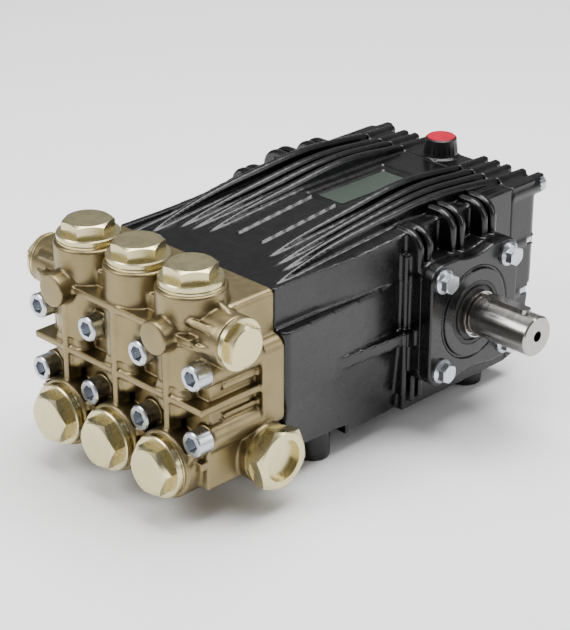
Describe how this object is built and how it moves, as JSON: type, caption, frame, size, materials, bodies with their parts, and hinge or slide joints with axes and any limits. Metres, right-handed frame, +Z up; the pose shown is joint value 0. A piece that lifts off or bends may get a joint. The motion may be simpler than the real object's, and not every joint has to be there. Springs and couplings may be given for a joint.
{
  "type": "pressure washer pump",
  "caption": "Triplex plunger pump with a brass valve head, a finned black crankcase and one keyed drive shaft.",
  "frame": {"origin": "centre of the four foot bolts on the mounting face", "axes": "+X along the crankshaft towards its driven end, +Y from the brass head to the rear cover, +Z up"},
  "size_m": [0.283, 0.3751, 0.1785],
  "materials": {
    "black_casting": "semi-gloss",
    "brass_casting": "satin",
    "brass_machined": "polished",
    "zinc_steel": "satin",
    "shaft_steel": "polished",
    "forged_steel": "satin",
    "ceramic": "polished",
    "rubber": "matte",
    "black_plastic": "matte",
    "red_plastic": "gloss",
    "white_plastic": "matte",
    "sight_glass": "gloss",
    "plate_aluminium": "satin",
    "gasket_sheet": "matte"
  },
  "bodies": {
    "root": {"crankcase": "black_casting", "rear_cover": "black_casting", "bearing_cover_drive_side": "black_casting", "bearing_cover_blind_side": "black_casting", "rear_cover_gasket": "gasket_sheet", "rear_cover_screws": "zinc_steel", "bearing_cover_bolts": "zinc_steel", "head_screws": "zinc_steel", "oil_drain_plug": "zinc_steel", "bearing_outer_rings": "shaft_steel", "bearing_balls": "shaft_steel", "valve_seats": "shaft_steel", "discharge_springs": "shaft_steel", "suction_springs": "shaft_steel", "shaft_seal": "rubber", "oil_seals": "rubber", "o_rings": "rubber", "plunger_packings": "rubber", "pump_head": "brass_casting", "discharge_valve_caps": "brass_machined", "suction_valve_caps": "brass_machined", "discharge_port_plugs": "brass_machined", "suction_port_plugs": "brass_machined", "port_plug_washers": "brass_machined", "packing_rings": "brass_machined", "valve_cages": "white_plastic", "sight_glass": "sight_glass", "name_plate": "plate_aluminium"},
    "crankshaft": {"crankshaft": "shaft_steel", "shaft_key": "shaft_steel", "bearing_inner_rings": "shaft_steel"},
    "filler_cap": {"oil_filler_cap": "black_plastic", "filler_disc": "red_plastic", "dipstick": "black_plastic"},
    "rod_1": {"connecting_rod_1": "forged_steel", "rod_cap_1": "forged_steel", "rod_bolts_1": "zinc_steel", "wrist_pin_1": "shaft_steel"},
    "plunger_1_slide": {"crosshead_1": "forged_steel", "plunger_1": "ceramic"},
    "discharge_valve_1": {"discharge_plate_1": "forged_steel"},
    "suction_valve_1": {"suction_plate_1": "forged_steel"},
    "rod_2": {"connecting_rod_2": "forged_steel", "rod_cap_2": "forged_steel", "rod_bolts_2": "zinc_steel", "wrist_pin_2": "shaft_steel"},
    "plunger_2_slide": {"crosshead_2": "forged_steel", "plunger_2": "ceramic"},
    "discharge_valve_2": {"discharge_plate_2": "forged_steel"},
    "suction_valve_2": {"suction_plate_2": "forged_steel"},
    "rod_3": {"connecting_rod_3": "forged_steel", "rod_cap_3": "forged_steel", "rod_bolts_3": "zinc_steel", "wrist_pin_3": "shaft_steel"},
    "plunger_3_slide": {"crosshead_3": "forged_steel", "plunger_3": "ceramic"},
    "discharge_valve_3": {"discharge_plate_3": "forged_steel"},
    "suction_valve_3": {"suction_plate_3": "forged_steel"}
  },
  "joints": [
    {"name": "crankshaft_turn", "type": "hinge", "parent": "root", "child": "crankshaft", "pos_m": [0, 0.035, 0.088], "axis": [1, 0, 0], "continuous": true},
    {"name": "rod_1_big_end", "type": "hinge", "parent": "crankshaft", "child": "rod_1", "pos_m": [-0.052, 0.026, 0.088], "axis": [1, 0, 0], "continuous": true},
    {"name": "plunger_1_stroke", "type": "slide", "parent": "root", "child": "plunger_1_slide", "axis": [0, 1, 0], "range_m": [0, 0.018]},
    {"name": "discharge_valve_1_lift", "type": "slide", "parent": "root", "child": "discharge_valve_1", "axis": [0, 0, 1], "range_m": [0, 0.0022], "stiffness_N_per_m": 400, "springref_m": -0.004, "deforming": ["discharge_springs"]},
    {"name": "suction_valve_1_lift", "type": "slide", "parent": "root", "child": "suction_valve_1", "axis": [0, -1, 0], "range_m": [0, 0.0022], "stiffness_N_per_m": 400, "springref_m": -0.004, "deforming": ["suction_springs"]},
    {"name": "rod_2_big_end", "type": "hinge", "parent": "crankshaft", "child": "rod_2", "pos_m": [0, 0.0395, 0.09579], "axis": [1, 0, 0], "continuous": true},
    {"name": "plunger_2_stroke", "type": "slide", "parent": "root", "child": "plunger_2_slide", "axis": [0, 1, 0], "range_m": [-0.01388, 0.00412]},
    {"name": "discharge_valve_2_lift", "type": "slide", "parent": "root", "child": "discharge_valve_2", "axis": [0, 0, 1], "range_m": [0, 0.0022], "stiffness_N_per_m": 400, "springref_m": -0.004, "deforming": ["discharge_springs"]},
    {"name": "suction_valve_2_lift", "type": "slide", "parent": "root", "child": "suction_valve_2", "axis": [0, -1, 0], "range_m": [0, 0.0022], "stiffness_N_per_m": 400, "springref_m": -0.004, "deforming": ["suction_springs"]},
    {"name": "rod_3_big_end", "type": "hinge", "parent": "crankshaft", "child": "rod_3", "pos_m": [0.052, 0.0395, 0.08021], "axis": [1, 0, 0], "continuous": true},
    {"name": "plunger_3_stroke", "type": "slide", "parent": "root", "child": "plunger_3_slide", "axis": [0, 1, 0], "range_m": [-0.01388, 0.00412]},
    {"name": "discharge_valve_3_lift", "type": "slide", "parent": "root", "child": "discharge_valve_3", "axis": [0, 0, 1], "range_m": [0, 0.0022], "stiffness_N_per_m": 400, "springref_m": -0.004, "deforming": ["discharge_springs"]},
    {"name": "suction_valve_3_lift", "type": "slide", "parent": "root", "child": "suction_valve_3", "axis": [0, -1, 0], "range_m": [0, 0.0022], "stiffness_N_per_m": 400, "springref_m": -0.004, "deforming": ["suction_springs"]},
    {"name": "filler_cap_lift", "type": "slide", "parent": "root", "child": "filler_cap", "axis": [0, 0, 1], "range_m": [0, 0.09]}
  ],
  "couplings": [
    {"joint": "rod_1_big_end", "follows": "crankshaft_turn", "ratio": -1},
    {"joint": "rod_2_big_end", "follows": "crankshaft_turn", "ratio": -1},
    {"joint": "rod_3_big_end", "follows": "crankshaft_turn", "ratio": -1}
  ]
}
